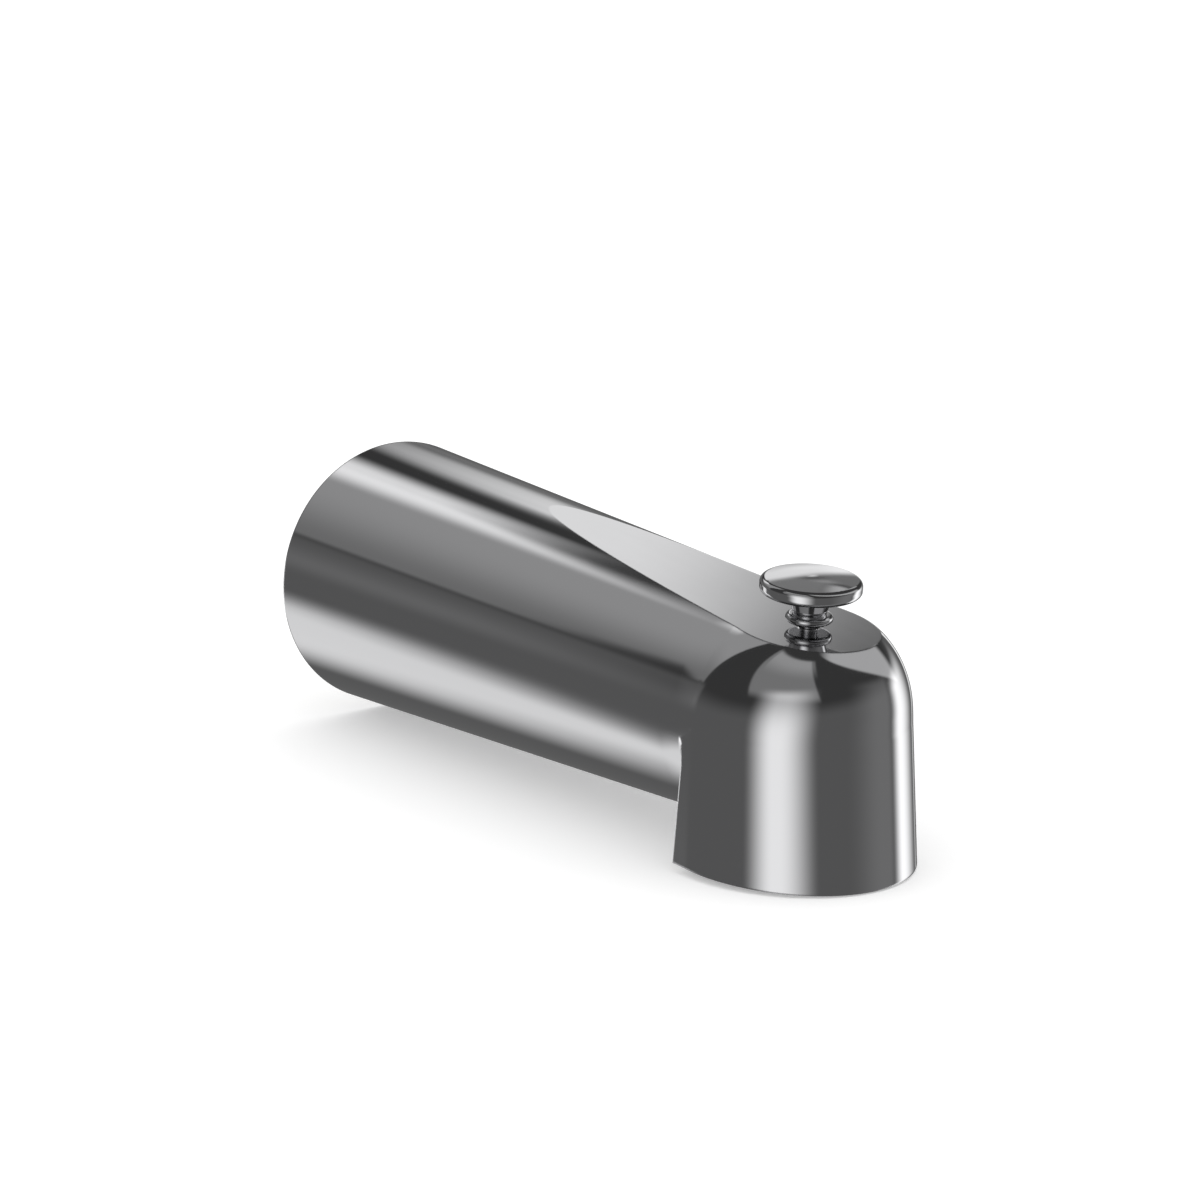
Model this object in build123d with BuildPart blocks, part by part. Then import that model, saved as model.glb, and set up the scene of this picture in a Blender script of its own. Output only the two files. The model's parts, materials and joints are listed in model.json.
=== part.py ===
from build123d import *
import os
from math import atan, cos, degrees, radians, sin, sqrt

os.makedirs("parts", exist_ok=True)

# A bath spout with a pull-up diverter. The origin is the centre of the wall face,
# the spout points to -Y, +Z is up, and every size is in millimetres.

# Tapered tube
wall_end_radius = 32.0
nose_reach = 158.0
nose_radius = 26.2
wall = 3.0

# Nose: half-ellipse in front, flat at the back, widening down to the outlet
nose_front = 31.3
nose_back = 2.0
outlet_depth = 31.4
outlet_slope = 0.048
flank_draft = 1.0
front_draft = 1.6
back_draft = 2.9
under_tube_round = 1.5

# Crown: the nose above the tube's axis, rounded like the tube
crown_front_radius = 27.0
crown_front_start = 4.0
crown_flank = 5.0
crown_angles = (12, 24, 36, 48, 60, 70)
crown_seam = 0.1
crown_edge_round = 0.8

# Flat on top, which slopes down towards the nose
flat_start = 67.9
flat_slope = 0.0835

# Lift knob and rod, square to the flat, a little in front of the nose's centre
knob_forward = 8.2
knob_gap = 1.3
knob_radius = 11.4
knob_thickness = 3.5
knob_dome = 0.6
knob_low_round = 1.3
knob_top_round = 1.3
knob_height = 11.35
neck_top_radius = 5.1
neck_low_radius = 3.7
bead_radius = 5.3
bead_thickness = 2.0
rod_radius = 1.95
thread_radius = 1.45
thread_grip = 6.5
lift_travel = 12.0
running_gap = 0.05

# Bushing in the roof
bushing_radius = 4.0
bushing_lip = 1.2
bushing_flange = 11.0
bushing_flange_thickness = 2.4
bushing_length = 8.0
stem_seal_section = 1.6
stem_seal_depth = 5.2

# Waterway
tube_radius_outer = 9.5
tube_wall = 1.2
tube_socket = 9.0
o_ring_section = 1.8
socket_wall = 1.0
o_ring_depth = 3.0
seal_gap = 0.04

# Diverter housing and its gate
orifice_radius = 5.4
seat_offset = 7.0
housing_half_width = 11.0
housing_depth = 13.0
housing_foot = 2.2
rail_width = 3.2
rail_lip = 1.6
guide_gap = 0.3
gate_half_width = 8.6
gate_half_height = 6.6
gate_thickness = 1.5
gate_offset = 3.6
gate_tab_reach = 3.4
seal_radius = 6.4
seal_thickness = 1.6
rivet_head_radius = 2.2
rivet_head = 0.7
rivet_shank = 1.2
nut_flats = 5.0
nut_thickness = 2.2
washer_radius = 3.0
washer_thickness = 0.5

# Screws that hold the housing under the roof
screw_spacing = 14.0
screw_set_back = 12.0
screw_radius = 1.5
screw_head_radius = 2.6
screw_head = 2.0
screw_length = 8.0
post_radius = 3.2
post_foot = 12.0
ear_thickness = 3.0
ear_radius = 4.0

# Inlet at the wall end
adapter_mouth = 13.0
adapter_length = 30.0
adapter_radius = 14.0
adapter_flange_radius = 17.0
adapter_flange = 3.0
thread_bore_radius = 9.6
thread_length = 17.0
ring_thickness = 9.0
ring_rim = 2.6
ring_spokes = 6
spoke_width = 4.0
clip_thickness = 1.2
clip_width = 2.0
clip_groove = 1.0
clip_gap = 0.1
clip_opening = 40
nut_ring_thickness = 5.0
nut_ring_radius = 17.5
gasket_width = 1.6
gasket_depth = 2.0
gasket_inset = 0.7

taper = (wall_end_radius - nose_radius) / nose_reach
knob_reach = nose_reach + knob_forward
lift_angle = degrees(atan(flat_slope))
tip_height = wall_end_radius - taper * flat_start
knob_base = tip_height - flat_slope * (knob_reach - flat_start)

lift = Plane(
    origin=(0, -knob_reach, knob_base),
    x_dir=(1, 0, 0),
    z_dir=(0, -sin(radians(lift_angle)), cos(radians(lift_angle))),
)
lift_side = Plane(origin=lift.origin, x_dir=(1, 0, 0), z_dir=-lift.y_dir)
lift_axis = Axis(lift.origin, lift.z_dir)


def tube_radius(reach):
    """Outer radius of the tapered tube at a distance from the wall."""
    return wall_end_radius - taper * reach


def nose_outline(height, half_width, front, back, flank=0.0):
    """Level outline of the nose: straight back and flanks, half an ellipse in front."""
    centre = -nose_reach - flank
    with BuildSketch(Plane.XY.offset(height)) as outline:
        with BuildLine():
            Polyline(
                (-half_width, centre),
                (-half_width, -nose_reach + back),
                (half_width, -nose_reach + back),
                (half_width, centre),
            )
            EllipticalCenterArc((0, centre), half_width, front - flank, start_angle=180, arc_size=180)
        make_face()
    return outline.sketch.face()


def back_edge(form):
    """Curved edge where the back wall of the nose leaves the underside of the tube."""
    return form.edges().filter_by(
        lambda edge: edge.bounding_box().min.Y > -nose_reach
        and edge.bounding_box().max.Y < -nose_reach + nose_back + back_draft + 3
        and edge.bounding_box().size.Z > outlet_depth / 3
        and edge.length > 2.5 * nose_radius
    )


def spout_form(inset, extra):
    """Solid form of the spout, moved in by an inset and carried on past both mouths."""
    radius = nose_radius - inset - crown_seam
    low = outlet_depth + extra + outlet_slope * nose_front + 2
    share = low / outlet_depth
    outlet_half_width = radius + flank_draft * share
    outlet_front = nose_front - inset + front_draft * share
    outlet_back = nose_back + (back_draft - inset) * share
    crown_outlines = [nose_outline(0, radius, nose_front - inset, nose_back)]
    for angle in crown_angles:
        rise = radius * sin(radians(angle))
        above = max(rise - crown_front_start, 0)
        fall = crown_front_radius - sqrt(crown_front_radius**2 - above**2)
        half_width = radius * cos(radians(angle))
        flank = crown_flank * (rise / radius) ** 2
        front = nose_front - inset - fall
        crown_outlines.append(nose_outline(rise, half_width, front, nose_back, flank))
    with BuildPart() as nose:
        loft([nose_outline(-low, outlet_half_width, outlet_front, outlet_back), crown_outlines[0]], ruled=True)
        loft(crown_outlines)
    with BuildPart() as form:
        with BuildSketch(Plane.XY):
            with BuildLine():
                Polyline(
                    (0, extra),
                    (tube_radius(-extra) - inset, extra),
                    (nose_radius - inset, -nose_reach),
                    (0, -nose_reach),
                    close=True,
                )
            make_face()
        revolve(axis=Axis.Y)
        add(nose.part)
        with BuildSketch(lift.offset(-inset)):
            Rectangle(4 * wall_end_radius, 4 * nose_reach)
        extrude(amount=2 * wall_end_radius, mode=Mode.SUBTRACT)
        back_limit = nose_back + back_draft + 3
        with BuildSketch(Plane((0, -nose_reach + back_limit, back_limit * outlet_slope - outlet_depth - extra),
                               (1, 0, 0), (0, -outlet_slope, 1))):
            Rectangle(4 * wall_end_radius, 2 * nose_reach, align=(Align.CENTER, Align.MAX))
        extrude(amount=-2 * wall_end_radius, mode=Mode.SUBTRACT)
        if inset == 0:
            back_wall_height = outlet_depth - tube_radius(nose_reach - nose_back)
            fillet(back_edge(form), min(under_tube_round, 0.4 * back_wall_height))
            flat = form.faces().filter_by(lift).sort_by(SortBy.AREA)[-1]
            crown_edges = flat.edges().filter_by(lambda edge: edge.center().Y < -nose_reach - 1)
            fillet(crown_edges, crown_edge_round)
    return form.part


def outline_face(plane, *points):
    """Closed straight-sided outline on a plane."""
    with BuildSketch(plane) as outline:
        with BuildLine():
            Polyline(*points, close=True)
        make_face()
    return outline.sketch.face()


def ring_face(plane, inner, outer, start, end):
    """Rectangular section of a ring, to be turned about the plane's second axis."""
    return outline_face(plane, (inner, start), (outer, start), (outer, end), (inner, end))


# Heights along the lift axis, measured from the flat and negative inside
lift_sine = sin(radians(lift_angle))
lift_cosine = cos(radians(lift_angle))
roof = -wall
boss_foot = roof - 2.0
flange_foot = boss_foot - bushing_flange_thickness
orifice_height = -(knob_base + seat_offset * lift_sine) / lift_cosine
gate_height = orifice_height - lift_travel
gate_top = gate_height + gate_half_height
tab_foot = gate_top - gate_thickness
washer_foot = tab_foot - washer_thickness
stop_height = gate_height - gate_half_height - running_gap
housing_top = -post_foot
seat_reach = -knob_reach + seat_offset * lift_cosine - orifice_height * lift_sine

# Places along the spout
socket_shoulder = seat_reach + 5.0
socket_mouth = socket_shoulder + tube_socket
adapter_back = -adapter_mouth
adapter_front = adapter_back - adapter_length
adapter_shoulder = adapter_front + tube_socket
ring_back = adapter_back - adapter_flange
ring_front = ring_back - ring_thickness
tube_bore = tube_radius_outer - tube_wall
screw_places = [(-screw_spacing, screw_set_back), (screw_spacing, screw_set_back)]

# Cast shell: tube, nose and crown as one hollow form, with its roof boss and screw posts
outer_form = spout_form(0, 0)
inner_form = spout_form(wall, 5)

with BuildPart() as spout_shell:
    add(outer_form)
    add(inner_form, mode=Mode.SUBTRACT)
    with BuildSketch(lift.offset(roof + 0.5)):
        Circle(bushing_flange / 2 + 2)
    extrude(amount=boss_foot - roof - 0.5)
    with BuildSketch(lift.offset(roof + 0.5)):
        with Locations(*screw_places):
            Circle(post_radius)
    extrude(amount=housing_top - roof - 0.5)
    revolve(
        ring_face(lift_side, 0, bushing_radius + running_gap, boss_foot - 1, -bushing_lip),
        axis=lift_axis,
        mode=Mode.SUBTRACT,
    )
    revolve(
        ring_face(lift_side, 0, rod_radius + guide_gap, -bushing_lip - 1, 1),
        axis=lift_axis,
        mode=Mode.SUBTRACT,
    )
    with BuildSketch(lift.offset(housing_top)):
        with Locations(*screw_places):
            Circle(screw_radius + running_gap)
    extrude(amount=screw_length - ear_thickness + 1, mode=Mode.SUBTRACT)
    clip_bore = tube_radius(-ring_back) - wall
    revolve(
        ring_face(
            Plane.XY,
            clip_bore - 1,
            clip_bore + clip_groove + clip_gap,
            ring_back + clip_gap,
            ring_back + clip_thickness + 2 * clip_gap,
        ),
        axis=Axis.Y,
        mode=Mode.SUBTRACT,
    )
    gasket_outer = wall_end_radius - gasket_inset
    revolve(
        ring_face(Plane.XY, gasket_outer - gasket_width, gasket_outer, -gasket_depth, 1),
        axis=Axis.Y,
        mode=Mode.SUBTRACT,
    )

# Foam ring that seals the rim against the wall
with BuildPart() as wall_gasket:
    revolve(
        ring_face(
            Plane.XY,
            gasket_outer - gasket_width + running_gap,
            gasket_outer - running_gap,
            -gasket_depth,
            0,
        ),
        axis=Axis.Y,
    )

# Inlet: threaded adapter, the ring that centres it in the tube, its nut and the split clip
with BuildPart() as inlet_adapter:
    revolve(
        outline_face(
            Plane.XY,
            (thread_bore_radius, adapter_back),
            (adapter_flange_radius, adapter_back),
            (adapter_flange_radius, ring_back),
            (adapter_radius, ring_back),
            (adapter_radius, adapter_front),
            (tube_radius_outer + running_gap, adapter_front),
            (tube_radius_outer + running_gap, adapter_shoulder),
            (tube_bore - 0.8, adapter_shoulder),
            (tube_bore - 0.8, adapter_back - thread_length),
            (thread_bore_radius, adapter_back - thread_length),
        ),
        axis=Axis.Y,
    )
    revolve(
        ring_face(
            Plane.XY,
            tube_radius_outer,
            tube_radius_outer + o_ring_section,
            adapter_front + o_ring_depth,
            adapter_front + o_ring_depth + o_ring_section + 2 * seal_gap,
        ),
        axis=Axis.Y,
        mode=Mode.SUBTRACT,
    )
    chamfer(inlet_adapter.edges().filter_by(GeomType.CIRCLE).sort_by(Axis.Y)[-2:], 0.6)

with BuildPart() as centring_ring:
    rim_back = tube_radius(-ring_back) - wall - running_gap
    rim_front = tube_radius(-ring_front) - wall - running_gap
    hub = adapter_radius + running_gap
    revolve(ring_face(Plane.XY, hub, hub + ring_rim, ring_front, ring_back), axis=Axis.Y)
    revolve(
        outline_face(
            Plane.XY,
            (rim_front - ring_rim, ring_front),
            (rim_front, ring_front),
            (rim_back, ring_back),
            (rim_back - ring_rim, ring_back),
        ),
        axis=Axis.Y,
    )
    with BuildSketch(Plane.XZ.offset(-ring_back)):
        with PolarLocations((hub + rim_back) / 2, ring_spokes):
            Rectangle(rim_back - hub - ring_rim, spoke_width)
    extrude(amount=ring_thickness)

with BuildPart() as adapter_nut:
    with BuildSketch(Plane.XZ.offset(-ring_front)):
        RegularPolygon(nut_ring_radius, 6, major_radius=False)
        Circle(adapter_radius + running_gap, mode=Mode.SUBTRACT)
    extrude(amount=nut_ring_thickness)
    chamfer(adapter_nut.faces().sort_by(Axis.Y)[0].outer_wire().edges(), 0.8)

with BuildPart() as retaining_clip:
    with BuildSketch(Plane.XZ.offset(-ring_back - clip_thickness - 1.5 * clip_gap)):
        Circle(clip_bore + clip_groove)
        Circle(clip_bore + clip_groove - clip_width, mode=Mode.SUBTRACT)
        with BuildLine():
            reach = 2 * clip_bore
            Polyline(
                (0, 0),
                (reach * sin(radians(clip_opening / 2)), -reach * cos(radians(clip_opening / 2))),
                (-reach * sin(radians(clip_opening / 2)), -reach * cos(radians(clip_opening / 2))),
                close=True,
            )
        make_face(mode=Mode.SUBTRACT)
    extrude(amount=clip_thickness)

# Waterway: drawn tube with a seal in the socket at each end
with BuildPart() as waterway_tube:
    revolve(
        ring_face(
            Plane.XY,
            tube_bore,
            tube_radius_outer,
            socket_shoulder + seal_gap,
            adapter_shoulder - seal_gap,
        ),
        axis=Axis.Y,
    )

with BuildPart() as rear_o_ring:
    revolve(
        ring_face(
            Plane.XY,
            tube_radius_outer + seal_gap,
            tube_radius_outer + o_ring_section - seal_gap,
            adapter_front + o_ring_depth + seal_gap,
            adapter_front + o_ring_depth + o_ring_section + seal_gap,
        ),
        axis=Axis.Y,
    )
    fillet(rear_o_ring.edges(), o_ring_section / 4)

with BuildPart() as front_o_ring:
    revolve(
        ring_face(
            Plane.XY,
            tube_radius_outer + seal_gap,
            tube_radius_outer + o_ring_section - seal_gap,
            socket_mouth - o_ring_depth - o_ring_section - seal_gap,
            socket_mouth - o_ring_depth - seal_gap,
        ),
        axis=Axis.Y,
    )
    fillet(front_o_ring.edges(), o_ring_section / 4)

# Housing: seat, two guide rails with a foot that stops the gate, socket and screw ears
with BuildPart() as diverter_housing:
    housing_span = housing_top - stop_height + housing_foot
    groove_back = gate_offset + gate_thickness + guide_gap
    groove_front = gate_offset - guide_gap
    rail_front = groove_front - rail_lip
    rail_inner = housing_half_width - rail_width
    plate_back = seat_offset + 5.0
    with BuildSketch(lift.offset(housing_top)):
        with Locations((0, rail_front)):
            Rectangle(
                2 * housing_half_width,
                plate_back - rail_front,
                align=(Align.CENTER, Align.MIN),
            )
        with Locations((0, rail_front)):
            Rectangle(
                2 * rail_inner,
                seat_offset - rail_front,
                align=(Align.CENTER, Align.MIN),
                mode=Mode.SUBTRACT,
            )
        with Locations((0, groove_front)):
            Rectangle(
                2 * (gate_half_width + guide_gap),
                groove_back - groove_front,
                align=(Align.CENTER, Align.MIN),
                mode=Mode.SUBTRACT,
            )
    extrude(amount=-housing_span)
    with BuildSketch(lift.offset(stop_height)):
        with Locations((0, rail_front)):
            Rectangle(
                2 * housing_half_width,
                plate_back - rail_front,
                align=(Align.CENTER, Align.MIN),
            )
    extrude(amount=-housing_foot)
    with BuildSketch(lift.offset(housing_top)):
        with Locations(*screw_places):
            Circle(ear_radius)
        with Locations((0, screw_set_back)):
            Rectangle(2 * screw_spacing, 2 * ear_radius)
        with Locations((0, seat_offset)):
            Rectangle(4 * screw_spacing, 2 * screw_set_back, align=(Align.CENTER, Align.MAX), mode=Mode.SUBTRACT)
        with Locations(*screw_places):
            Circle(screw_radius + 0.2, mode=Mode.SUBTRACT)
    extrude(amount=-ear_thickness)
    socket_radius = tube_radius_outer + o_ring_section + socket_wall
    revolve(ring_face(Plane.XY, 0, socket_radius, socket_shoulder - 2, socket_mouth), axis=Axis.Y)
    revolve(
        outline_face(
            Plane.XY,
            (0, seat_reach - 2),
            (orifice_radius, seat_reach - 2),
            (orifice_radius, seat_reach + 2),
            (tube_bore, socket_shoulder),
            (tube_radius_outer + running_gap, socket_shoulder),
            (tube_radius_outer + running_gap, socket_mouth),
            (0, socket_mouth),
        ),
        axis=Axis.Y,
        mode=Mode.SUBTRACT,
    )
    revolve(
        ring_face(
            Plane.XY,
            tube_radius_outer,
            tube_radius_outer + o_ring_section,
            socket_mouth - o_ring_depth - o_ring_section - 2 * seal_gap,
            socket_mouth - o_ring_depth,
        ),
        axis=Axis.Y,
        mode=Mode.SUBTRACT,
    )

    with BuildSketch(Plane.XZ.offset(-socket_mouth)):
        Circle(nose_radius - wall - guide_gap)
    extrude(amount=2 * nose_front, mode=Mode.INTERSECT)

with BuildPart() as housing_screws:
    with BuildSketch(lift.offset(housing_top - ear_thickness)):
        with Locations(*screw_places):
            Circle(screw_radius)
    extrude(amount=screw_length)
    with BuildSketch(lift.offset(housing_top - ear_thickness)):
        with Locations(*screw_places):
            Circle(screw_head_radius)
    extrude(amount=-screw_head)
    with BuildSketch(lift.offset(housing_top - ear_thickness - screw_head)):
        with Locations(*screw_places):
            Rectangle(0.7, 3.6)
            Rectangle(3.6, 0.7)
    extrude(amount=1.1, mode=Mode.SUBTRACT)

# Bushing that guides the rod through the roof, with its seal
with BuildPart() as stem_bushing:
    revolve(
        ring_face(lift_side, 0, bushing_radius, -bushing_lip - bushing_length, -bushing_lip),
        axis=lift_axis,
    )
    with BuildSketch(lift.offset(boss_foot)):
        RegularPolygon(bushing_flange / 2, 6, major_radius=False)
    extrude(amount=-bushing_flange_thickness)
    revolve(
        ring_face(lift_side, 0, rod_radius + running_gap, -bushing_lip - bushing_length - 1, 1),
        axis=lift_axis,
        mode=Mode.SUBTRACT,
    )
    revolve(
        ring_face(
            lift_side,
            rod_radius,
            rod_radius + stem_seal_section,
            -stem_seal_depth - stem_seal_section - 2 * seal_gap,
            -stem_seal_depth,
        ),
        axis=lift_axis,
        mode=Mode.SUBTRACT,
    )

with BuildPart() as stem_o_ring:
    revolve(
        ring_face(
            lift_side,
            rod_radius + running_gap,
            rod_radius + stem_seal_section - seal_gap,
            -stem_seal_depth - stem_seal_section - seal_gap,
            -stem_seal_depth - seal_gap,
        ),
        axis=lift_axis,
    )
    fillet(stem_o_ring.edges(), stem_seal_section / 4)

# Diverter: knob, rod and gate, which slide together along the lift axis
with BuildPart() as lift_knob:
    bead = bead_thickness / 2
    bead_top = knob_gap + bead_thickness
    underside = knob_height - knob_thickness
    diagonal = sqrt(0.5)
    dome_reach = knob_radius - knob_top_round
    dome_radius = (dome_reach**2 + knob_dome**2) / (2 * knob_dome)
    with BuildSketch(lift_side):
        with BuildLine():
            Polyline(
                (0, knob_height + knob_dome),
                (0, knob_gap + thread_grip + 0.5),
                (thread_radius + running_gap, knob_gap + thread_grip + 0.5),
                (thread_radius + running_gap, knob_gap),
                (bead_radius - bead, knob_gap),
            )
            ThreePointArc(
                (bead_radius - bead, knob_gap),
                (bead_radius, knob_gap + bead),
                (bead_radius - bead, bead_top),
            )
            Polyline(
                (bead_radius - bead, bead_top),
                (neck_low_radius, bead_top),
                (neck_top_radius, underside),
                (knob_radius - knob_low_round, underside),
            )
            ThreePointArc(
                (knob_radius - knob_low_round, underside),
                (knob_radius - knob_low_round * (1 - diagonal), underside + knob_low_round * (1 - diagonal)),
                (knob_radius, underside + knob_low_round),
            )
            Line((knob_radius, underside + knob_low_round), (knob_radius, knob_height - knob_top_round))
            ThreePointArc(
                (knob_radius, knob_height - knob_top_round),
                (knob_radius - knob_top_round * (1 - diagonal), knob_height - knob_top_round * (1 - diagonal)),
                (knob_radius - knob_top_round, knob_height),
            )
            ThreePointArc(
                (knob_radius - knob_top_round, knob_height),
                (dome_reach / 2, knob_height + knob_dome - dome_radius + sqrt(dome_radius**2 - dome_reach**2 / 4)),
                (0, knob_height + knob_dome),
            )
        make_face()
    revolve(axis=lift_axis)

with BuildPart() as lift_rod:
    revolve(
        outline_face(
            lift_side,
            (0, washer_foot - nut_thickness - 0.8),
            (thread_radius, washer_foot - nut_thickness - 0.8),
            (thread_radius, gate_top),
            (rod_radius, gate_top),
            (rod_radius, knob_gap),
            (thread_radius, knob_gap),
            (thread_radius, knob_gap + thread_grip),
            (0, knob_gap + thread_grip),
        ),
        axis=lift_axis,
    )

with BuildPart() as diverter_gate:
    with BuildSketch(lift.offset(gate_top)):
        with Locations((0, gate_offset)):
            Rectangle(2 * gate_half_width, gate_thickness, align=(Align.CENTER, Align.MIN))
    extrude(amount=-2 * gate_half_height)
    with BuildSketch(lift.offset(gate_top)):
        with Locations((0, gate_offset + gate_thickness / 2)):
            Rectangle(
                2 * gate_tab_reach + 1,
                gate_offset + gate_thickness / 2,
                align=(Align.CENTER, Align.MAX),
            )
        Circle(gate_tab_reach + 0.5)
        Circle(thread_radius + running_gap, mode=Mode.SUBTRACT)
    extrude(amount=-gate_thickness)
    gate_side = Plane(origin=lift.origin + lift.z_dir * gate_height, x_dir=(1, 0, 0), z_dir=lift.y_dir)
    with BuildSketch(gate_side):
        Circle(rivet_shank + running_gap)
    extrude(amount=2 * seat_offset, mode=Mode.SUBTRACT)

with BuildPart() as gate_seal:
    with BuildSketch(gate_side.offset(gate_offset + gate_thickness)):
        Circle(seal_radius)
        Circle(rivet_shank + running_gap, mode=Mode.SUBTRACT)
    extrude(amount=seal_thickness)
    with BuildSketch(gate_side.offset(gate_offset + gate_thickness + seal_thickness)):
        Circle(rivet_head_radius + running_gap)
    extrude(amount=-rivet_head, mode=Mode.SUBTRACT)

with BuildPart() as seal_rivet:
    with BuildSketch(gate_side.offset(gate_offset - rivet_head)):
        Circle(rivet_head_radius)
    extrude(amount=rivet_head)
    with BuildSketch(gate_side.offset(gate_offset)):
        Circle(rivet_shank)
    extrude(amount=gate_thickness + seal_thickness)
    with BuildSketch(gate_side.offset(gate_offset + gate_thickness + seal_thickness)):
        Circle(rivet_head_radius)
    extrude(amount=-rivet_head)

with BuildPart() as rod_washer:
    revolve(
        ring_face(lift_side, thread_radius + running_gap, washer_radius, washer_foot, tab_foot),
        axis=lift_axis,
    )

with BuildPart() as rod_nut:
    with BuildSketch(lift.offset(washer_foot)):
        RegularPolygon(nut_flats / 2, 6, major_radius=False)
        Circle(thread_radius + running_gap, mode=Mode.SUBTRACT)
    extrude(amount=-nut_thickness)

spout_shell.part.label = "spout_shell"
wall_gasket.part.label = "wall_gasket"
inlet_adapter.part.label = "inlet_adapter"
centring_ring.part.label = "centring_ring"
adapter_nut.part.label = "adapter_nut"
retaining_clip.part.label = "retaining_clip"
waterway_tube.part.label = "waterway_tube"
rear_o_ring.part.label = "rear_o_ring"
front_o_ring.part.label = "front_o_ring"
diverter_housing.part.label = "diverter_housing"
housing_screws.part.label = "housing_screws"
stem_bushing.part.label = "stem_bushing"
stem_o_ring.part.label = "stem_o_ring"
lift_knob.part.label = "lift_knob"
lift_rod.part.label = "lift_rod"
diverter_gate.part.label = "diverter_gate"
gate_seal.part.label = "gate_seal"
seal_rivet.part.label = "seal_rivet"
rod_washer.part.label = "rod_washer"
rod_nut.part.label = "rod_nut"

export_step(spout_shell.part, "parts/spout_shell.step")
export_step(wall_gasket.part, "parts/wall_gasket.step")
export_step(inlet_adapter.part, "parts/inlet_adapter.step")
export_step(centring_ring.part, "parts/centring_ring.step")
export_step(adapter_nut.part, "parts/adapter_nut.step")
export_step(retaining_clip.part, "parts/retaining_clip.step")
export_step(waterway_tube.part, "parts/waterway_tube.step")
export_step(rear_o_ring.part, "parts/rear_o_ring.step")
export_step(front_o_ring.part, "parts/front_o_ring.step")
export_step(diverter_housing.part, "parts/diverter_housing.step")
export_step(housing_screws.part, "parts/housing_screws.step")
export_step(stem_bushing.part, "parts/stem_bushing.step")
export_step(stem_o_ring.part, "parts/stem_o_ring.step")
export_step(lift_knob.part, "parts/lift_knob.step")
export_step(lift_rod.part, "parts/lift_rod.step")
export_step(diverter_gate.part, "parts/diverter_gate.step")
export_step(gate_seal.part, "parts/gate_seal.step")
export_step(seal_rivet.part, "parts/seal_rivet.step")
export_step(rod_washer.part, "parts/rod_washer.step")
export_step(rod_nut.part, "parts/rod_nut.step")
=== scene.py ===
import bpy
import json
from math import asin, atan2, cos, pi, radians, sin, sqrt
from mathutils import Matrix, Vector


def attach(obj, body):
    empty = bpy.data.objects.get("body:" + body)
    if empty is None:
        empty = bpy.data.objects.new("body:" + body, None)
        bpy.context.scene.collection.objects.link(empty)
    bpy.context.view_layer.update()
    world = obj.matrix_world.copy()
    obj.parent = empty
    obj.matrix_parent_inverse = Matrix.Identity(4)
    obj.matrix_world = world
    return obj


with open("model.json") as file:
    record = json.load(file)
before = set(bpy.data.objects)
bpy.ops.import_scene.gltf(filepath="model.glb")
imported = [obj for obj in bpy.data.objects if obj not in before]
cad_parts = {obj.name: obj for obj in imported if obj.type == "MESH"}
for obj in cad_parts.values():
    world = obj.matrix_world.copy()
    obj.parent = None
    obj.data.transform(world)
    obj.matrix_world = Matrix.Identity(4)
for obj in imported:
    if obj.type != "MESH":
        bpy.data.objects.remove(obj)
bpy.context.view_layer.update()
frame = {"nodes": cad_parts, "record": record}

# Sizes are in metres, and the directions of the camera and the lights are in degrees

# Camera: the direction it looks from, and where the nose's centre falls in the picture
camera_azimuth = -35.242
camera_elevation = 14.396
camera_distance = 1.212
camera_lens = 164.2
aim_right = 0.04101
aim_up = -0.0249

# Floor, just under the nose, and how much brighter than its light it looks to the camera
floor_height = -0.0334
floor_size = 6
floor_grey = 0.9
floor_lift = 0.3

# Plating: its grey, and how far its edges look rounded by buffing
plating_grey = (0.62, 0.62, 0.63, 1)
shell_edge = 0.0006
knob_edge = 0.0002

# Grain of the other finishes: the shares of their colour in its dark and its light spots
grain_dark = 0.85
grain_light = 1.1


def deselect():
    """Nothing is selected and nothing is active."""
    bpy.ops.object.select_all(action="DESELECT")
    bpy.context.view_layer.objects.active = None


def new_material(name):
    """A node material and its shader."""
    material = bpy.data.materials.new(name)
    material.use_nodes = True
    shader = material.node_tree.nodes["Principled BSDF"]
    return material, shader


def add_node(material, kind, **values):
    """A node in a material, with its settings and inputs set by name."""
    node = material.node_tree.nodes.new(kind)
    for key, value in values.items():
        if hasattr(node, key):
            setattr(node, key, value)
        else:
            node.inputs[key.replace("_", " ")].default_value = value
    return node


def join(material, source, target):
    """A link between two nodes of a material."""
    material.node_tree.links.new(source, target)


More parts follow.
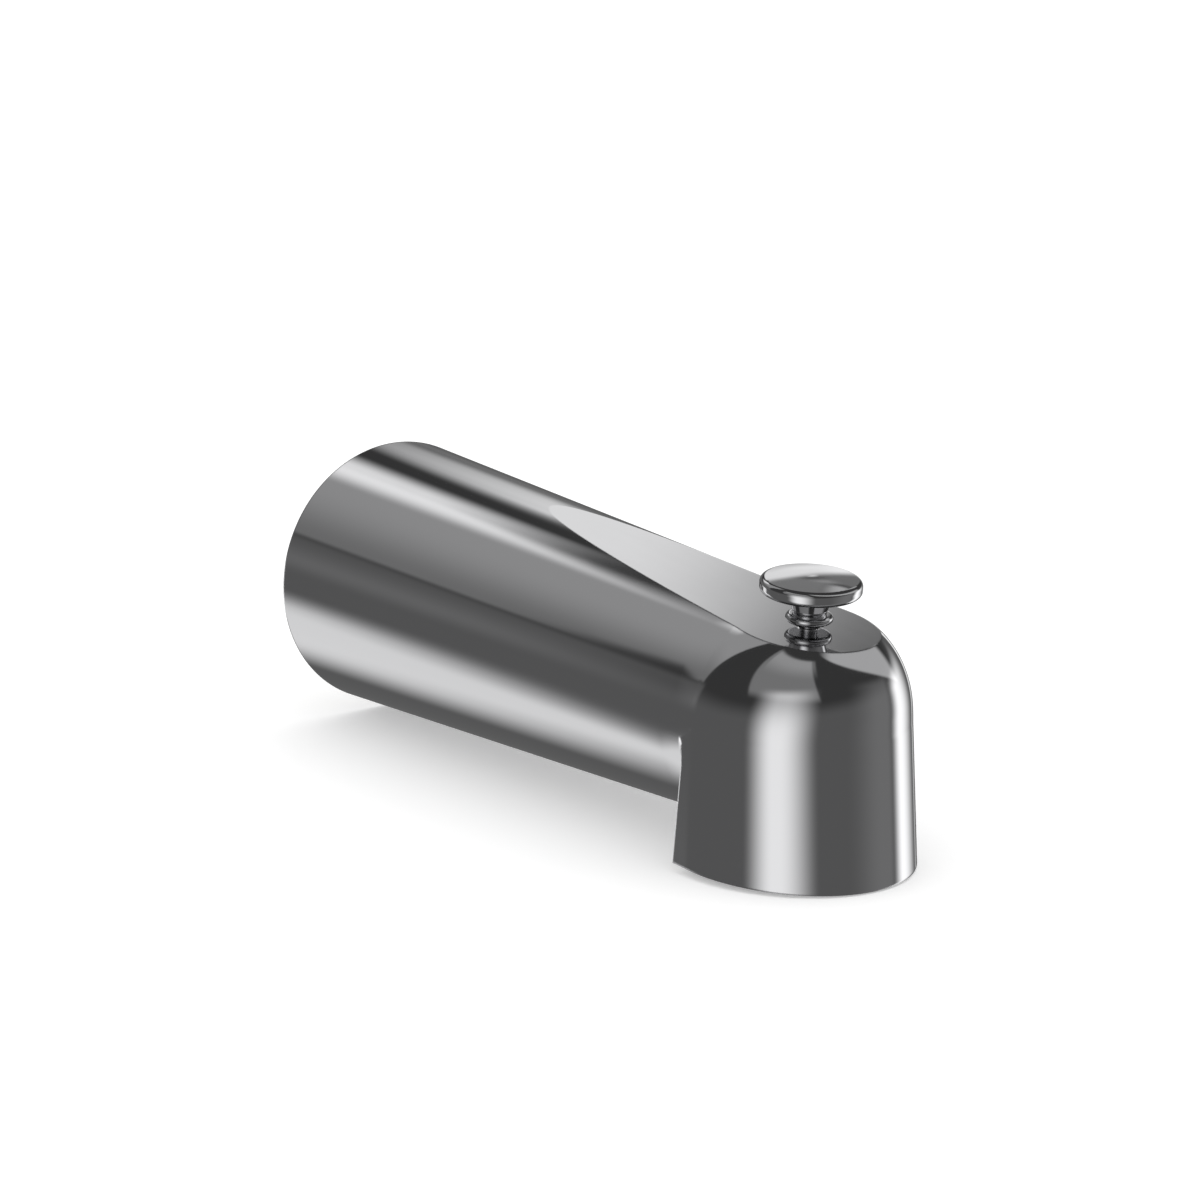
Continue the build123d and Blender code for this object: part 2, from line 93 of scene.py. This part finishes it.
def polished(name, edge):
    """Mirror plating: fine wipe marks in the gloss, faint waves from the buffing wheel, softened edges."""
    material, shader = new_material(name)
    shader.inputs["Base Color"].default_value = plating_grey
    shader.inputs["Metallic"].default_value = 1
    place = add_node(material, "ShaderNodeTexCoord")
    stretch = add_node(material, "ShaderNodeMapping")
    stretch.inputs["Scale"].default_value = (60, 12, 60)
    join(material, place.outputs["Object"], stretch.inputs["Vector"])
    haze = add_node(material, "ShaderNodeTexNoise", Scale=4.0, Detail=5.0)
    join(material, stretch.outputs["Vector"], haze.inputs["Vector"])
    gloss = add_node(material, "ShaderNodeMapRange", To_Min=0.03, To_Max=0.09)
    join(material, haze.outputs["Fac"], gloss.inputs["Value"])
    join(material, gloss.outputs["Result"], shader.inputs["Roughness"])
    bevel = add_node(material, "ShaderNodeBevel", samples=6)
    bevel.inputs["Radius"].default_value = edge
    wave = add_node(material, "ShaderNodeTexNoise", Scale=30.0, Detail=1.0)
    join(material, place.outputs["Object"], wave.inputs["Vector"])
    bump = add_node(material, "ShaderNodeBump", Strength=0.02, Distance=0.0005)
    join(material, wave.outputs["Fac"], bump.inputs["Height"])
    join(material, bevel.outputs["Normal"], bump.inputs["Normal"])
    join(material, bump.outputs["Normal"], shader.inputs["Normal"])
    return material


def plain(name, colour, metal, low, high, scale, depth):
    """A finish with grain: colour and gloss vary a little over the surface, with a fine bump."""
    material, shader = new_material(name)
    shader.inputs["Metallic"].default_value = metal
    place = add_node(material, "ShaderNodeTexCoord")
    grain = add_node(material, "ShaderNodeTexNoise", Scale=scale, Detail=6.0)
    join(material, place.outputs["Object"], grain.inputs["Vector"])
    tint = add_node(material, "ShaderNodeMix", data_type="RGBA")
    tint.inputs["A"].default_value = (*[c * grain_dark for c in colour], 1)
    tint.inputs["B"].default_value = (*[min(c * grain_light, 1) for c in colour], 1)
    join(material, grain.outputs["Fac"], tint.inputs["Factor"])
    join(material, tint.outputs["Result"], shader.inputs["Base Color"])
    gloss = add_node(material, "ShaderNodeMapRange", To_Min=low, To_Max=high)
    join(material, grain.outputs["Fac"], gloss.inputs["Value"])
    join(material, gloss.outputs["Result"], shader.inputs["Roughness"])
    bump = add_node(material, "ShaderNodeBump", Strength=0.3, Distance=depth)
    join(material, grain.outputs["Fac"], bump.inputs["Height"])
    join(material, bump.outputs["Normal"], shader.inputs["Normal"])
    return material


finishes = {
    "polished_shell": polished("polished_shell", shell_edge),
    "polished_knob": polished("polished_knob", knob_edge),
    "foam_gasket": plain("foam_gasket", (0.09, 0.09, 0.09), 0, 0.85, 0.98, 900, 0.0003),
    "cast_brass": plain("cast_brass", (0.72, 0.55, 0.28), 1, 0.3, 0.5, 700, 0.0001),
    "drawn_brass": plain("drawn_brass", (0.75, 0.58, 0.31), 1, 0.2, 0.35, 300, 0.00003),
    "turned_brass": plain("turned_brass", (0.78, 0.6, 0.3), 1, 0.15, 0.3, 500, 0.00003),
    "stamped_brass": plain("stamped_brass", (0.7, 0.54, 0.28), 1, 0.25, 0.4, 400, 0.00005),
    "ring_plastic": plain("ring_plastic", (0.75, 0.75, 0.72), 0, 0.4, 0.55, 800, 0.00005),
    "housing_plastic": plain("housing_plastic", (0.16, 0.16, 0.17), 0, 0.35, 0.5, 800, 0.00005),
    "spring_steel": plain("spring_steel", (0.45, 0.45, 0.46), 1, 0.3, 0.4, 600, 0.00003),
    "stainless_steel": plain("stainless_steel", (0.6, 0.6, 0.61), 1, 0.15, 0.3, 600, 0.00002),
    "seal_rubber": plain("seal_rubber", (0.03, 0.03, 0.03), 0, 0.5, 0.65, 600, 0.00003),
    "gate_rubber": plain("gate_rubber", (0.05, 0.05, 0.05), 0, 0.55, 0.7, 600, 0.00003),
}

for part in frame["record"]["subparts"]:
    node = frame["nodes"][part["node"]]
    node.data.materials.clear()
    node.data.materials.append(finishes[part["material_slot"]])


# Outside of the casting, as the plating on it
plating = 0.00006
nose_reach = 0.158
wall_end_radius = 0.032 + plating
nose_radius = 0.0262 + plating
flat_start = 0.0679
flat_slope = 0.0835
nose_front = 0.0313 + plating
nose_back = 0.002 + plating
outlet_depth = 0.0314
outlet_slope = 0.048
flank_draft = 0.001
front_draft = 0.0016
back_draft = 0.0029
crown_front_radius = 0.027
crown_front_start = 0.004
crown_flank = 0.005
under_tube_round = 0.0016
rod_hole = 0.00225
knob_reach = 0.1662

# How far the skin's rims are turned in, and how deep they lie in the metal
tuck = 0.0003
tuck_depth = 0.00005

# Rows along the tube, round the fillet under it and down the back of the nose, and columns round the tube
tube_rows = 25
fillet_rows = 10
wall_rows = 8
side_columns = 57
top_columns = 66
near_columns = 49
low_columns = 41

# Steps along the straight and the round part of the nose at a height, along a flank, and in a search
straight_steps = 4
round_steps = 128
flank_steps = 4
arc_steps = 32
wall_steps = 256
search_steps = 40

# Distances at which a point counts as on an edge or on the flat, and at which two points are welded
on_edge_within = 1e-7
on_flat_within = 1e-6
weld_within = 5e-7

# How near the sines of two angles lie when the angles count as the same
same_sine_within = 1e-9

taper = (wall_end_radius - nose_radius) / nose_reach
flat_tip = wall_end_radius - taper * flat_start


def flat_height(y):
    """Height of the sloping flat on top."""
    return flat_tip + flat_slope * (y + flat_start)


def outlet_height(y):
    """Height of the outlet's rim, which slopes too."""
    return -outlet_depth + outlet_slope * (y + nose_reach)


def half_width(z):
    """Half the width of the nose at a height: round above the tube's axis, drafted below it."""
    if z > 0:
        return sqrt(max(nose_radius**2 - z**2, 0))
    return nose_radius - flank_draft * z / outlet_depth


def front_reach(z):
    """How far the nose reaches in front of its centre at a height."""
    if z > 0:
        above = max(z - crown_front_start, 0)
        return nose_front - crown_front_radius + sqrt(crown_front_radius**2 - above**2)
    return nose_front - front_draft * z / outlet_depth


def flank_reach(z):
    """Length of the straight side of the crown before its round front begins."""
    return crown_flank * (max(z, 0) / nose_radius) ** 2


def nose_point(turn, z):
    """
    Point on the nose at a height.

    turn runs from -1 to 0 on the left flank, on to 1 round the front and to 2 on the right flank.
    """
    flank = flank_reach(z)
    if turn < 0:
        return Vector((-half_width(z), -nose_reach - flank * (1 + turn), z))
    if turn > 1:
        return Vector((half_width(z), -nose_reach - flank * (2 - turn), z))
    angle = pi * turn
    ahead = flank + (front_reach(z) - flank) * sin(angle)
    return Vector((-half_width(z) * cos(angle), -nose_reach - ahead, z))


def settle(turn, limit):
    """Height at which a column of the nose meets a sloping plane."""
    z = limit(-nose_reach)
    for step in range(search_steps):
        z = limit(nose_point(turn, z).y)
    return z


def under_profile(angle):
    """Fillet under the tube and back of the nose, in a plane through the tube's axis, as y and radius."""
    slope = (back_draft / outlet_depth) * sin(angle)
    cone_side = under_tube_round * sqrt(1 + taper**2)
    wall_side = under_tube_round * sqrt(1 + slope**2)
    wall_foot = -nose_reach + nose_back
    centre_r = (wall_end_radius + taper * (wall_foot + wall_side) + cone_side) / (1 - taper * slope)
    centre_y = wall_foot + slope * centre_r + wall_side
    start = atan2(-1, taper)
    finish = atan2(slope, -1) - 2 * pi
    arc = []
    for step in range(arc_steps + 1):
        turn = start + (finish - start) * step / arc_steps
        arc.append((centre_y + under_tube_round * cos(turn), centre_r + under_tube_round * sin(turn)))
    wall = []
    for step in range(1, wall_steps + 1):
        r = arc[-1][1] + outlet_depth * step / wall_steps
        wall.append((wall_foot + slope * r, r))
    return arc, wall


def beyond_nose(point):
    """Whether a point lies outside the nose's flanks or below its outlet."""
    return abs(point.x) > half_width(point.z) or point.z < outlet_height(point.y)


def clipped(points, angle):
    """The stretch of a profile within the nose's flanks and above its outlet, as points in space."""
    kept = []
    for y, r in points:
        point = Vector((-r * cos(angle), y, -r * sin(angle)))
        if kept and beyond_nose(point):
            low, high = kept[-1], point
            for step in range(search_steps):
                middle = (low + high) / 2
                if beyond_nose(middle):
                    high = middle
                else:
                    low = middle
            return kept + [low], True
        kept.append(point)
    return kept, False


def resample(points, count):
    """The same line with evenly spaced points."""
    lengths = [0]
    for a, b in zip(points, points[1:]):
        lengths.append(lengths[-1] + (b - a).length)
    out = []
    index = 0
    for step in range(count):
        goal = lengths[-1] * step / (count - 1)
        while index < len(points) - 2 and lengths[index + 1] < goal:
            index += 1
        span = lengths[index + 1] - lengths[index]
        share = (goal - lengths[index]) / span if span > 0 else 0
        out.append(points[index].lerp(points[index + 1], min(max(share, 0), 1)))
    return out


def tube_line(angle, end):
    """Evenly spaced points along the tube at an angle above its side, after one tucked in at the wall."""
    tucked = wall_end_radius - tuck
    column = [Vector((-tucked * cos(angle), -tuck_depth, tucked * sin(angle)))]
    for step in range(tube_rows):
        y = end * step / (tube_rows - 1)
        r = wall_end_radius + taper * y
        column.append(Vector((-r * cos(angle), y, r * sin(angle))))
    return column


def upper_column(angle):
    """Points along the top half of the tube, from the wall end to the flat or the nose."""
    if sin(angle) <= sin(cut_angle) + same_sine_within:
        return tube_line(angle, -nose_reach)
    drop = flat_tip + flat_slope * flat_start - wall_end_radius * sin(angle)
    return tube_line(angle, drop / (taper * sin(angle) - flat_slope))


def under_column(angle):
    """One column of the underside: along the tube, round the fillet and down the back of the nose."""
    arc, wall = under_profile(angle)
    arc_start = arc[0][0]
    radius = arc[0][1]
    if radius * cos(angle) > half_width(-radius * sin(angle)):
        near, far = arc_start, -nose_reach
        for step in range(search_steps):
            y = (near + far) / 2
            radius = wall_end_radius + taper * y
            if radius * cos(angle) > half_width(-radius * sin(angle)):
                near = y
            else:
                far = y
        column = tube_line(-angle, far)
        return column + [column[-1]] * (fillet_rows + wall_rows)
    column = tube_line(-angle, arc_start)
    line, stopped = clipped(arc, angle)
    column += resample(line, fillet_rows + 1)[1:]
    if stopped:
        return column + [column[-1]] * wall_rows
    line, stopped = clipped([arc[-1]] + wall, angle)
    return column + resample(line, wall_rows + 1)[1:]


def mirrored(columns):
    """The same columns on the other side of the spout."""
    return [[Vector((-p.x, p.y, p.z)) for p in column] for column in columns]


def tucked_in(point):
    """A point of the outlet's rim, moved into the metal of the rim."""
    inward = Vector((-point.x, -nose_reach - nose_front / 2 - point.y, 0)).normalized()
    return point + inward * tuck + Vector((0, 0, tuck_depth))


def skin_patch(name, columns, outward):
    """A patch of skin: a grid, put on the columns of points, with its faces to the outside."""
    across, along = len(columns), len(columns[0])
    bpy.ops.mesh.primitive_grid_add(x_subdivisions=along - 1, y_subdivisions=across - 1, size=0.1)
    patch = bpy.context.active_object
    patch.name = name
    for index, vertex in enumerate(patch.data.vertices):
        vertex.co = columns[index // along][index % along]
    patch.data.update()
    middle = patch.data.polygons[(across // 2) * (along - 1) + (along - 1) // 2]
    if middle.normal.dot(outward) < 0:
        patch.data.flip_normals()
    return patch


# Upper half of the tube: the sides run to the nose, the top runs to the flat
cut_angle = asin(flat_height(-nose_reach) / nose_radius)
left_side = [upper_column(cut_angle * step / side_columns) for step in range(side_columns + 1)]
top_angle = pi - 2 * cut_angle
top_side = [upper_column(cut_angle + top_angle * step / top_columns) for step in range(top_columns + 1)]

# Lower half: near the flank the columns end on the flank's back edge, below it on the rim of the outlet.
# The angle between the two is searched from one that ends on each, in radians.
on_flank, on_rim = 0.3, 1.2
for step in range(search_steps):
    corner_angle = (on_flank + on_rim) / 2
    corner = under_column(corner_angle)[-1]
    if abs(corner.x) > half_width(corner.z) - on_edge_within:
        on_flank = corner_angle
    else:
        on_rim = corner_angle
corner_angle = on_flank
near_under = [under_column(corner_angle * step / near_columns) for step in range(near_columns + 1)]
low_under = []
for step in range(low_columns + 1):
    column = under_column(corner_angle + (pi / 2 - corner_angle) * step / low_columns)
    low_under.append(column + [tucked_in(column[-1])])

# Straight back part of the nose's flanks, below the tube's axis
ends = [column[-1] for column in near_under]
shares = [end.z / ends[-1].z for end in ends]
flank = []
for end, share in zip(ends, shares):
    start = Vector((0, -nose_reach, share * outlet_height(-nose_reach)))
    line = [start.lerp(end, step / flank_steps) for step in range(flank_steps + 1)]
    flank.append([Vector((-half_width(p.z), p.y, p.z)) for p in line])
flank.append([tucked_in(p) for p in flank[-1]])

# Nose, from the rim of the outlet up to the flat, round from the left side to the right
turns = [step / straight_steps - 1 for step in range(straight_steps)]
turns += [step / round_steps for step in range(round_steps + 1)]
turns += [1 + (step + 1) / straight_steps for step in range(straight_steps)]
upper_angles = [cut_angle * (step + 1) / side_columns for step in range(side_columns)]
upper_shares = [sin(angle) / sin(cut_angle) for angle in upper_angles]
nose = []
for turn in turns:
    low_z = settle(turn, outlet_height)
    high_z = settle(turn, flat_height)
    column = [nose_point(turn, low_z * share) for share in reversed(shares)]
    column += [nose_point(turn, high_z * share) for share in upper_shares]
    nose.append([tucked_in(column[0])] + column)

# Flat, from the hole for the rod out to its edge
hole = Vector((0, -knob_reach, flat_height(-knob_reach)))
along_flat = Vector((0, 1, flat_slope)).normalized()
flat = []
for point in [column[-1] for column in top_side] + [column[-1] for column in reversed(nose)][1:]:
    spoke = point - hole
    spoke = Vector((1, 0, 0)) * spoke.x + along_flat * spoke.dot(along_flat)
    rim = hole + spoke.normalized() * rod_hole
    flat.append([rim + spoke.normalized() * tuck - Vector((0, 0, tuck)), rim, point])

deselect()
patches = [
    skin_patch("left_side", left_side, Vector((-1, 0, 0))),
    skin_patch("top_side", top_side, Vector((0, 0, 1))),
    skin_patch("right_side", mirrored(left_side), Vector((1, 0, 0))),
    skin_patch("left_under", near_under, Vector((-1, 0, 0))),
    skin_patch("right_under", mirrored(near_under), Vector((1, 0, 0))),
    skin_patch("left_low", low_under, Vector((0, 0, -1))),
    skin_patch("right_low", mirrored(low_under), Vector((0, 0, -1))),
    skin_patch("left_flank", flank, Vector((-1, 0, 0))),
    skin_patch("right_flank", mirrored(flank), Vector((1, 0, 0))),
    skin_patch("nose", nose, Vector((0, -1, 0))),
    skin_patch("flat", flat, Vector((0, 0, 1))),
]
deselect()
for patch in patches:
    patch.select_set(True)
bpy.context.view_layer.objects.active = patches[0]
bpy.ops.object.join()
skin = bpy.context.active_object
skin.name = "polished_skin"
bpy.ops.object.mode_set(mode="EDIT")
bpy.ops.mesh.select_all(action="SELECT")
bpy.ops.mesh.remove_doubles(threshold=weld_within)
bpy.ops.mesh.dissolve_degenerate(threshold=weld_within)
bpy.ops.mesh.select_all(action="DESELECT")
bpy.ops.object.mode_set(mode="OBJECT")
on_flat = [abs(v.co.z - flat_height(v.co.y)) < on_flat_within for v in skin.data.vertices]
for edge_line in skin.data.edges:
    edge_line.use_edge_sharp = all(on_flat[end] for end in edge_line.vertices)
bpy.ops.object.shade_smooth_by_angle(angle=radians(30), keep_sharp_edges=True)
skin.data.materials.append(finishes["polished_shell"])
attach(skin, "spout")

# Floor: pale, matt, and white to the camera outside the shadow
deselect()
bpy.ops.mesh.primitive_plane_add(size=floor_size, location=(0, 0, floor_height))
floor = bpy.context.active_object
floor.name = "floor"
floor_material, floor_shader = new_material("pale_floor")
floor_shader.inputs["Base Color"].default_value = (floor_grey, floor_grey, floor_grey, 1)
floor_shader.inputs["Roughness"].default_value = 0.9
floor_shader.inputs["Specular IOR Level"].default_value = 0
ray = add_node(floor_material, "ShaderNodeLightPath")
lift_to_white = add_node(floor_material, "ShaderNodeMath", operation="MULTIPLY")
lift_to_white.inputs[1].default_value = floor_lift
join(floor_material, ray.outputs["Is Camera Ray"], lift_to_white.inputs[0])
floor_shader.inputs["Emission Color"].default_value = (1, 1, 1, 1)
join(floor_material, lift_to_white.outputs[0], floor_shader.inputs["Emission Strength"])
floor.data.materials.append(floor_material)
floor.visible_glossy = False

# Studio: soft lights round a dim room, placed by azimuth from +Y towards +X and by elevation. The room is
# a little brighter near the floor than overhead.
room_low = 0.13
room_high = 0.05
room_turns_dark = 16

world = bpy.data.worlds.new("studio")
bpy.context.scene.world = world
world.use_nodes = True
world.cycles.sampling_method = "NONE"
room = world.node_tree


def room_math(operation, first, second=None):
    """A number made in the room's nodes from one or two others."""
    node = room.nodes.new("ShaderNodeMath")
    node.operation = operation
    for socket, value in zip(node.inputs, (first, second)):
        if isinstance(value, (int, float)):
            socket.default_value = value
        elif value is not None:
            room.links.new(value, socket)
    return node.outputs[0]


def room_ramp(value, start, end, low, high):
    """A smooth step between two values."""
    node = room.nodes.new("ShaderNodeMapRange")
    node.interpolation_type = "SMOOTHSTEP"
    room.links.new(value, node.inputs["Value"])
    node.inputs["From Min"].default_value = start
    node.inputs["From Max"].default_value = end
    node.inputs["To Min"].default_value = low
    node.inputs["To Max"].default_value = high
    return node.outputs["Result"]


direction = room.nodes.new("ShaderNodeTexCoord").outputs["Generated"]
split = room.nodes.new("ShaderNodeSeparateXYZ")
room.links.new(direction, split.inputs[0])
azimuth = room_math("DEGREES", room_math("ARCTAN2", split.outputs["X"], split.outputs["Y"]))
elevation = room_math("DEGREES", room_math("ARCSINE", split.outputs["Z"]))


def window(value, marks):
    """Rises from 0 to 1 between the first two marks and falls back between the last two."""
    rise = room_ramp(value, marks[0], marks[1], 0, 1)
    fall = room_ramp(value, marks[2], marks[3], 1, 0)
    return room_math("MULTIPLY", rise, fall)


def from_middle(value, marks):
    """A value and a window's marks, measured the short way round from the window's middle."""
    middle = (marks[0] + marks[3]) / 2
    wrap = room.nodes.new("ShaderNodeMath")
    wrap.operation = "WRAP"
    room.links.new(room_math("SUBTRACT", value, middle), wrap.inputs[0])
    wrap.inputs[1].default_value = 180
    wrap.inputs[2].default_value = -180
    return wrap.outputs[0], [mark - middle for mark in marks]


lights = [
    # Name, strength, azimuths and elevations where it starts, is full, is last full and ends, and how far
    # it tilts up to one side and leans over as it rises
    ("right streak", 0.95, (37.3, 43.6, 46.1, 50.4), (-15, -3, 19.3, 23.6), -0.5, -0.52),
    ("right haze", 0.16, (39, 42, 48, 56), (5, 12, 26, 28), 0, 0),
    ("above knob", 0.2, (28, 33, 41, 44), (23.5, 26.5, 34, 38), 0, 0),
    ("right of knob", 0.5, (41.5, 44, 56, 66), (27.5, 29.5, 33, 38), 0, 0),
    ("overhead", 1.02, (-9, 5, 8.5, 19.5), (20, 28, 38.8, 40.9), -0.2, 0),
    ("back wall", 0.17, (-35.8, -34.2, -3, 9), (15, 17.5, 55, 65), 0, 0.16),
    ("back wall top", 0.17, (-35.8, -34.2, -3, 9), (18, 38, 55, 65), 0, 0.16),
    ("back low", 0.07, (-44, -40, 37, 42), (-5, 5, 13, 18), 0, 0),
    ("behind", 1.0, (-28, -20, 12, 22), (-24, -18, -9, -4), 0, 0),
    ("left wall", 0.2, (-143, -140, -74.5, -71.5), (16, 24, 56.5, 59.5), 0.08, 0.5),
    ("left wall top", 0.16, (-143, -140, -74.5, -71.5), (38, 54, 56.5, 59.5), 0.08, 0.5),
    ("left window", 0.6, (-155, -117, -112, -87), (-60, -30, -14, 30), 0, 0),
    ("left window high", 0.5, (-155, -117, -112, -87), (-60, -30, 22, 30), 0, 0),
    ("front top", 0.5, (84, 95, 190, 222), (30.5, 33, 50, 60), 0.48, 0),
    ("right window", 1.45, (59, 94, 95, 113), (-60, -30, 0, 10), 0, 0),
    ("front right", 0.09, (106, 120, 130, 178), (-60, -50, 14, 21), 0.2, 0),
    ("low left", 0.85, (-37, -28, -15.5, 6.5), (-46, -34, -23, -13), 0, -0.225),
]
level = room_ramp(elevation, 0, room_turns_dark, room_low, room_high)
for name, strength, across, tall, tilt, lean in lights:
    sideways, across = from_middle(azimuth, across)
    upwards, tall = from_middle(elevation, tall)
    leaning = room_math("SUBTRACT", sideways, room_math("MULTIPLY", upwards, lean))
    tilted = room_math("SUBTRACT", upwards, room_math("MULTIPLY", sideways, tilt))
    shape = room_math("MULTIPLY", window(leaning, across), window(tilted, tall))
    level = room_math("ADD", level, room_math("MULTIPLY", shape, strength))
    level.node.label = name

room_ray = room.nodes.new("ShaderNodeLightPath")
plain_ray = room_math("MAXIMUM", room_ray.outputs["Is Camera Ray"], room_ray.outputs["Is Diffuse Ray"])
mix = room.nodes.new("ShaderNodeMix")
room.links.new(plain_ray, mix.inputs["Factor"])
room.links.new(level, mix.inputs["A"])
mix.inputs["B"].default_value = 1
room.links.new(mix.outputs["Result"], room.nodes["Background"].inputs["Strength"])
room.nodes["Background"].inputs["Color"].default_value = (1, 1, 1, 1)

# Camera
swing = radians(camera_azimuth)
lift = radians(camera_elevation)
back = Vector((sin(swing) * cos(lift), -cos(swing) * cos(lift), sin(lift)))
right = Vector((cos(swing), sin(swing), 0))
up = back.cross(right)
camera_data = bpy.data.cameras.new("camera")
camera = bpy.data.objects.new("camera", camera_data)
bpy.context.scene.collection.objects.link(camera)
camera_data.sensor_width = 36
camera_data.lens = camera_lens
camera_data.clip_start = 0.05
camera_data.clip_end = 20
camera.location = Vector((0, -nose_reach, 0)) - aim_right * right - aim_up * up + camera_distance * back
camera.rotation_euler = Matrix((right, up, back)).transposed().to_euler()
bpy.context.scene.camera = camera

bpy.context.scene.view_settings.view_transform = "Standard"
